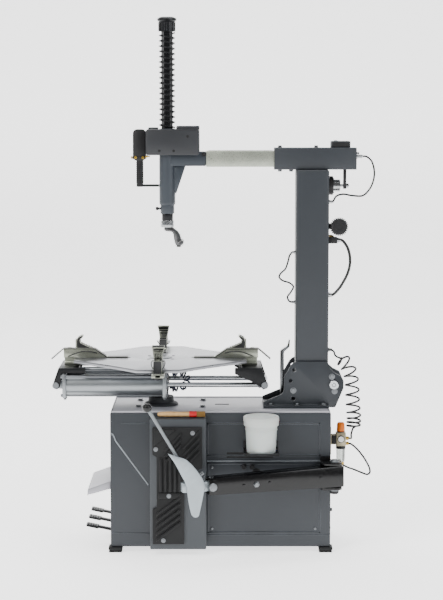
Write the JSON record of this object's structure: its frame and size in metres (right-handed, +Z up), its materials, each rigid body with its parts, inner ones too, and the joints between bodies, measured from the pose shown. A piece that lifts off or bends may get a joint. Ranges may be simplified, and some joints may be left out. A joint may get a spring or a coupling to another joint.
{
  "type": "tire changer machine",
  "caption": "Tilt-back tyre changer with four-jaw turntable, vertical mounting shaft, swinging side bead breaker, air cylinders and foot pedals",
  "frame": {"origin": "centre of the footprint box, on the floor under the feet", "axes": "+X from the pedals to the column, +Y away from the bead breaker side, +Z up"},
  "size_m": [1.1706, 0.9352, 1.9076],
  "materials": {
    "slate_paint": "satin powder coat",
    "panel_paint": "satin powder coat",
    "tray_paint": "satin powder coat",
    "black_paint": "satin",
    "gloss_black": "gloss",
    "rubber": "moulded",
    "hose_rubber": "smooth",
    "cover_plastic": "moulded",
    "white_plastic": "moulded",
    "plate_steel": "machined",
    "zinc_steel": "zinc plated",
    "cylinder_aluminium": "anodised",
    "chrome_rod": "polished",
    "cast_iron": "cast",
    "brush_wood": "varnished"
  },
  "bodies": {
    "root": {"cabinet": "slate_paint", "top_tray": "tray_paint", "foot_front_left": "rubber", "foot_front_right": "rubber", "foot_rear_left": "rubber", "foot_rear_right": "rubber", "pad_panel": "panel_paint", "rubber_pad": "rubber", "pedal_hood": "tray_paint", "bucket_shelf": "black_paint", "column_bracket": "slate_paint", "tilt_pin": "chrome_rod", "breaker_hinge": "gloss_black", "regulator": "cylinder_aluminium", "regulator_hose": "hose_rubber", "motor": "cylinder_aluminium", "drive_belt": "rubber", "gearbox": "cast_iron", "breaker_cylinder": "cylinder_aluminium"},
    "motor_pulley": {"motor_pulley": "cast_iron"},
    "gearbox_pulley": {"gearbox_pulley": "cast_iron"},
    "breaker_rod": {"breaker_rod": "chrome_rod"},
    "turntable": {"turntable_plate": "plate_steel", "spindle": "black_paint", "table_hose": "hose_rubber"},
    "jaw_left": {"jaw_left": "black_paint", "end_bracket_left": "black_paint", "air_cylinder_front": "cylinder_aluminium", "air_cylinder_rear": "cylinder_aluminium"},
    "jaw_right": {"jaw_right": "black_paint", "end_bracket_right": "black_paint", "piston_rod_front": "chrome_rod", "piston_rod_rear": "chrome_rod"},
    "jaw_front": {"jaw_front": "black_paint"},
    "jaw_rear": {"jaw_rear": "black_paint"},
    "column": {"column": "slate_paint", "arm_housing": "slate_paint", "lock_actuator": "black_paint", "upper_hose": "hose_rubber", "lock_hose": "hose_rubber", "thin_hose": "hose_rubber", "coil_air_hose": "hose_rubber"},
    "knob": {"fluted_knob": "cover_plastic"},
    "arm": {"arm": "zinc_steel", "head_casting": "slate_paint", "head_cover": "cover_plastic", "lock_handle": "black_paint", "shaft_spring": "black_paint"},
    "shaft": {"vertical_shaft": "black_paint", "mount_head": "plate_steel"},
    "breaker_arm": {"breaker_arm": "gloss_black"},
    "blade": {"breaker_blade": "zinc_steel", "breaker_handle": "zinc_steel"},
    "pedal_tilt": {"pedal_tilt": "black_paint"},
    "pedal_clamp": {"pedal_clamp": "black_paint"},
    "pedal_rotate": {"pedal_rotate": "black_paint"},
    "bucket": {"grease_bucket": "white_plastic"},
    "bucket_lid": {"bucket_lid": "white_plastic"},
    "brush": {"brush": "brush_wood"},
    "tyre_lever": {"tyre_lever": "zinc_steel"}
  },
  "joints": [
    {"name": "turntable_spin", "type": "hinge", "parent": "root", "child": "turntable", "pos_m": [-0.1635, 0.06862, 0.6], "axis": [0, 0, 1], "continuous": true},
    {"name": "gearbox_pulley_spin", "type": "hinge", "parent": "root", "child": "gearbox_pulley", "pos_m": [-0.1055, -0.03338, 0.4], "axis": [0, 1, 0], "continuous": true},
    {"name": "motor_pulley_spin", "type": "hinge", "parent": "root", "child": "motor_pulley", "pos_m": [0.0365, -0.03338, 0.33], "axis": [0, 1, 0], "continuous": true},
    {"name": "jaw_left_slide", "type": "slide", "parent": "turntable", "child": "jaw_left", "axis": [1, 0, 0], "range_m": [0, 0.075]},
    {"name": "jaw_right_slide", "type": "slide", "parent": "turntable", "child": "jaw_right", "axis": [-1, 0, 0], "range_m": [0, 0.075]},
    {"name": "jaw_front_slide", "type": "slide", "parent": "turntable", "child": "jaw_front", "axis": [0, 1, 0], "range_m": [0, 0.075]},
    {"name": "jaw_rear_slide", "type": "slide", "parent": "turntable", "child": "jaw_rear", "axis": [0, -1, 0], "range_m": [0, 0.075]},
    {"name": "column_tilt", "type": "hinge", "parent": "root", "child": "column", "pos_m": [0.4615, 0.06862, 0.5925], "axis": [0, 1, 0], "range_deg": [0, 25], "deforming": ["coil_air_hose"]},
    {"name": "knob_turn", "type": "hinge", "parent": "column", "child": "knob", "pos_m": [0.4785, 0.02862, 1.161], "axis": [0, 1, 0], "range_deg": [-150, 150]},
    {"name": "arm_slide", "type": "slide", "parent": "column", "child": "arm", "axis": [1, 0, 0], "range_m": [-0.06, 0.13]},
    {"name": "shaft_slide", "type": "slide", "parent": "arm", "child": "shaft", "axis": [0, 0, -1], "range_m": [0, 0.23], "stiffness_N_per_m": 600, "springref_m": -0.25, "deforming": ["shaft_spring"]},
    {"name": "breaker_swing", "type": "hinge", "parent": "root", "child": "breaker_arm", "pos_m": [0.4565, -0.14638, 0.29], "axis": [0, 0, 1], "range_deg": [-8, 20]},
    {"name": "breaker_rod_slide", "type": "slide", "parent": "root", "child": "breaker_rod", "axis": [0, -1, 0], "range_m": [-0.046, 0.114]},
    {"name": "blade_swivel", "type": "hinge", "parent": "breaker_arm", "child": "blade", "pos_m": [0.02138, -0.27941, 0.2815], "axis": [0, 0, 1], "range_deg": [-3, 10]},
    {"name": "pedal_tilt_press", "type": "hinge", "parent": "root", "child": "pedal_tilt", "pos_m": [-0.2755, -0.05138, 0.06], "axis": [0, -1, 0], "range_deg": [0, 9], "stiffness_Nm_per_rad": 20, "springref_deg": -17.19},
    {"name": "pedal_clamp_press", "type": "hinge", "parent": "root", "child": "pedal_clamp", "pos_m": [-0.2755, 0.07662, 0.06], "axis": [0, -1, 0], "range_deg": [0, 9], "stiffness_Nm_per_rad": 20, "springref_deg": -17.19},
    {"name": "pedal_rotate_press", "type": "hinge", "parent": "root", "child": "pedal_rotate", "pos_m": [-0.2755, 0.20462, 0.06], "axis": [0, -1, 0], "range_deg": [-5, 9], "stiffness_Nm_per_rad": 60, "springref_deg": -0.69},
    {"name": "bucket_lift", "type": "slide", "parent": "root", "child": "bucket", "axis": [0, 0, 1], "range_m": [0, 0.05]},
    {"name": "bucket_lid_lift", "type": "slide", "parent": "bucket", "child": "bucket_lid", "axis": [0, 0, 1], "range_m": [0, 0.06]},
    {"name": "brush_lift", "type": "slide", "parent": "root", "child": "brush", "axis": [0, 0, 1], "range_m": [0, 0.04]},
    {"name": "tyre_lever_lift", "type": "slide", "parent": "root", "child": "tyre_lever", "axis": [0, 0, 1], "range_m": [0, 0.12]}
  ],
  "couplings": [
    {"joint": "gearbox_pulley_spin", "follows": "turntable_spin", "ratio": 40},
    {"joint": "motor_pulley_spin", "follows": "turntable_spin", "ratio": 75},
    {"joint": "jaw_right_slide", "follows": "jaw_left_slide", "ratio": 1},
    {"joint": "jaw_front_slide", "follows": "jaw_left_slide", "ratio": 1},
    {"joint": "jaw_rear_slide", "follows": "jaw_left_slide", "ratio": 1},
    {"joint": "breaker_rod_slide", "follows": "breaker_swing", "m_per_rad": 0.321}
  ]
}
